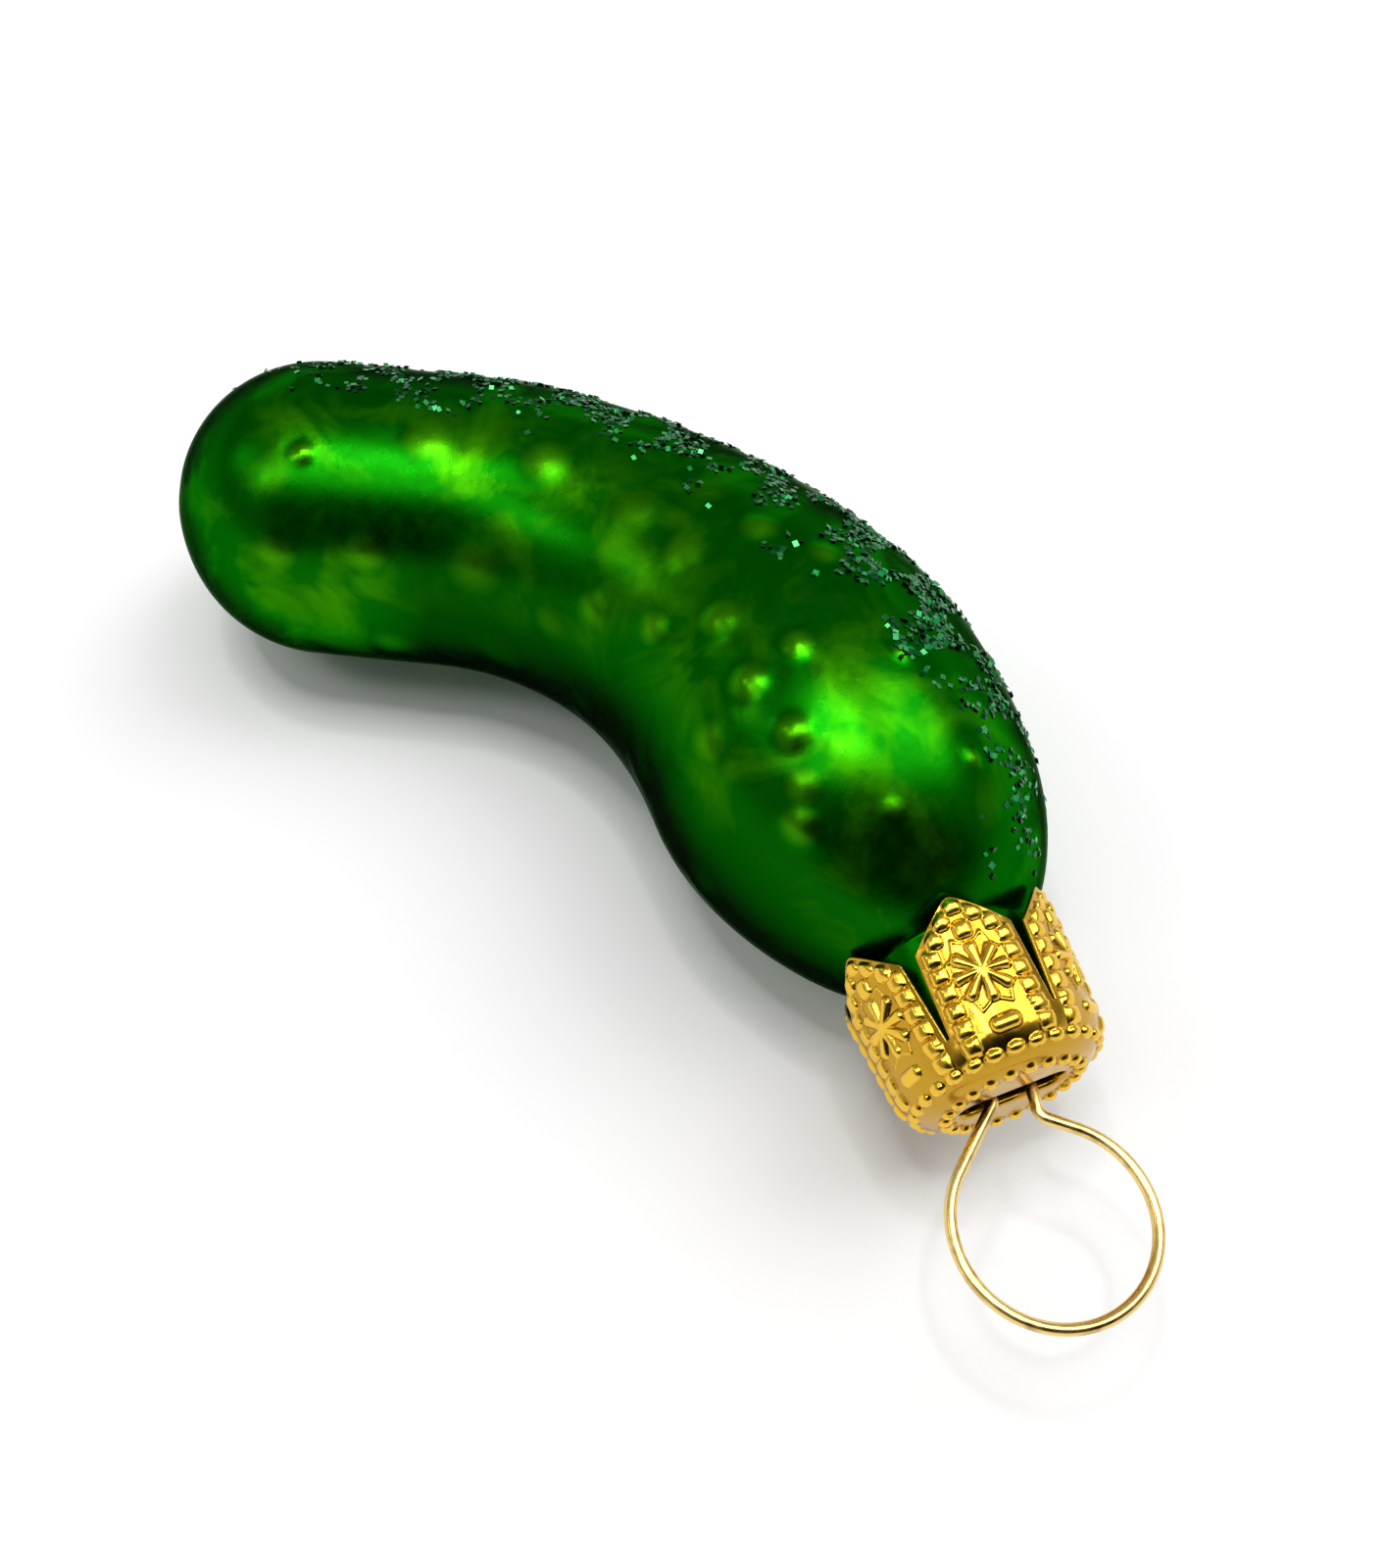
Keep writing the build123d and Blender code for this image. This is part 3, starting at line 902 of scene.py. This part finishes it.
def place_ring_light(stage):
    """A ring of small lamps overhead, which draws the wire's shadow twice."""
    middle = Vector((-0.1, 0.1, 0.99)).normalized()
    across = middle.orthogonal().normalized()
    lean = middle * cos(stage.ring_angle) + across * sin(stage.ring_angle)
    for step in range(stage.ring_lamps):
        towards = Quaternion(middle, 2 * pi * step / stage.ring_lamps) @ lean
        place_lamp(f"ring_lamp_{step}", towards, stage.ring_light / stage.ring_lamps, stage.ring_lamp_angle)


def paint_room(stage):
    """The light box round the table: a white sweep at table height, dim walls and a dark open front."""
    world = bpy.data.worlds.new("light_box")
    world.use_nodes = True
    bpy.context.scene.world = world
    tree = world.node_tree
    space = tree.nodes.new("ShaderNodeTexCoord")

    def joined(operation, first, second):
        made = tree.nodes.new("ShaderNodeMath")
        made.operation = operation
        tree.links.new(first, made.inputs[0])
        tree.links.new(second, made.inputs[1])
        return made.outputs["Value"]

    def part(towards, start, end, low, high):
        """A level that changes with the angle from a direction."""
        dot = tree.nodes.new("ShaderNodeVectorMath")
        dot.operation = "DOT_PRODUCT"
        dot.inputs[1].default_value = Vector(towards).normalized()
        tree.links.new(space.outputs["Generated"], dot.inputs[0])
        made = tree.nodes.new("ShaderNodeMapRange")
        made.interpolation_type = "SMOOTHSTEP"
        for socket, value in zip(("From Min", "From Max", "To Min", "To Max"), (start, end, low, high)):
            made.inputs[socket].default_value = value
        tree.links.new(dot.outputs["Value"], made.inputs["Value"])
        return made.outputs["Result"]

    walls = part((0, 0, 1), 0.2, 0.6, stage.wall_light, stage.ceiling_light)
    open_front = part((-0.08, -0.87, 0.5), 0.5, 0.84, 1.0, stage.front_light)
    sweep = part((0, 0, 1), 0.17, 0.36, 1.0, 0.0)
    level = joined("MAXIMUM", joined("MULTIPLY", walls, open_front), sweep)
    background = tree.nodes["Background"]
    background.inputs["Color"].default_value = (1, 1, 1, 1)
    tree.links.new(level, background.inputs["Strength"])


def lay_floor(stage):
    half = stage.floor_size / 2
    corners = [(-half, -half, 0), (half, -half, 0), (half, half, 0), (-half, half, 0)]
    floor = mesh_object("floor", corners, [(0, 1, 2, 3)], smooth=False)
    floor.data.materials.append(floor_paper(stage))


# Operators

class ORNAMENT_OT_glass(Operator):
    """Build the lacquered glass body over the frame's glass"""
    bl_idname = "ornament.glass"
    bl_label = "Glass body"

    def execute(self, context):
        glass = context.scene.pickle_glass
        piece = build_glass(glass)
        piece.data.materials.append(lacquered_glass(glass))
        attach(piece, "glass")
        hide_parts("glass_body")
        return {"FINISHED"}


class ORNAMENT_OT_glitter(Operator):
    """Glue the glitter along the outside of the bend"""
    bl_idname = "ornament.glitter"
    bl_label = "Glitter"

    def execute(self, context):
        glitter = context.scene.pickle_glitter
        piece = build_glitter(context.scene.pickle_glass, glitter)
        piece.data.materials.append(glitter_grains(glitter))
        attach(piece, "glass")
        return {"FINISHED"}


class ORNAMENT_OT_cap(Operator):
    """Press the crown cap over the frame's cap"""
    bl_idname = "ornament.cap"
    bl_label = "Crown cap"

    def execute(self, context):
        cap = context.scene.pickle_cap
        piece = build_cap(cap)
        piece.data.materials.append(stamped_gold(cap))
        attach(piece, "cap")
        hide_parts("crown_cap")
        return {"FINISHED"}


class ORNAMENT_OT_hanger(Operator):
    """Bend the wire hanger over the frame's wire"""
    bl_idname = "ornament.hanger"
    bl_label = "Wire hanger"

    def execute(self, context):
        hanger = context.scene.pickle_hanger
        piece = build_hanger(hanger)
        piece.data.materials.append(plated_wire(hanger))
        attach(piece, "hanger")
        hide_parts("wire_hanger")
        return {"FINISHED"}


class ORNAMENT_OT_stage(Operator):
    """Set the floor, the light and the camera"""
    bl_idname = "ornament.stage"
    bl_label = "Stage"

    def execute(self, context):
        stage = context.scene.pickle_stage
        lay_floor(stage)
        place_panels(stage)
        place_ring_light(stage)
        paint_room(stage)
        place_camera(stage)
        context.scene.view_settings.view_transform = "Standard"
        return {"FINISHED"}


class ORNAMENT_PT_panel(Panel):
    """Lists the ornament's pieces with their settings"""
    bl_idname = "ORNAMENT_PT_panel"
    bl_label = "Pickle ornament"
    bl_space_type = "VIEW_3D"
    bl_region_type = "UI"
    bl_category = "Ornament"

    def draw(self, context):
        for operator, group_name in zip(OPERATORS, GROUPS):
            group = getattr(context.scene, group_name)
            box = self.layout.box()
            box.operator(operator.bl_idname)
            for name in group.bl_rna.properties.keys():
                if name not in {"rna_type", "name"}:
                    box.prop(group, name)


OPERATORS = (
    ORNAMENT_OT_glass, ORNAMENT_OT_glitter, ORNAMENT_OT_cap, ORNAMENT_OT_hanger, ORNAMENT_OT_stage,
)
GROUPS = {
    "pickle_glass": GlassSettings, "pickle_glitter": GlitterSettings, "pickle_cap": CapSettings,
    "pickle_hanger": HangerSettings, "pickle_stage": StageSettings,
}


def register():
    for kind in (*GROUPS.values(), *OPERATORS, ORNAMENT_PT_panel):
        bpy.utils.register_class(kind)
    for name, group in GROUPS.items():
        setattr(bpy.types.Scene, name, PointerProperty(type=group))


def unregister():
    for name in GROUPS:
        delattr(bpy.types.Scene, name)
    for kind in (ORNAMENT_PT_panel, *reversed(OPERATORS), *reversed(list(GROUPS.values()))):
        bpy.utils.unregister_class(kind)


def main():
    register()
    bpy.ops.ornament.stage()
    bpy.ops.ornament.glass()
    bpy.ops.ornament.glitter()
    bpy.ops.ornament.cap()
    bpy.ops.ornament.hanger()


if __name__ == "__main__":
    main()
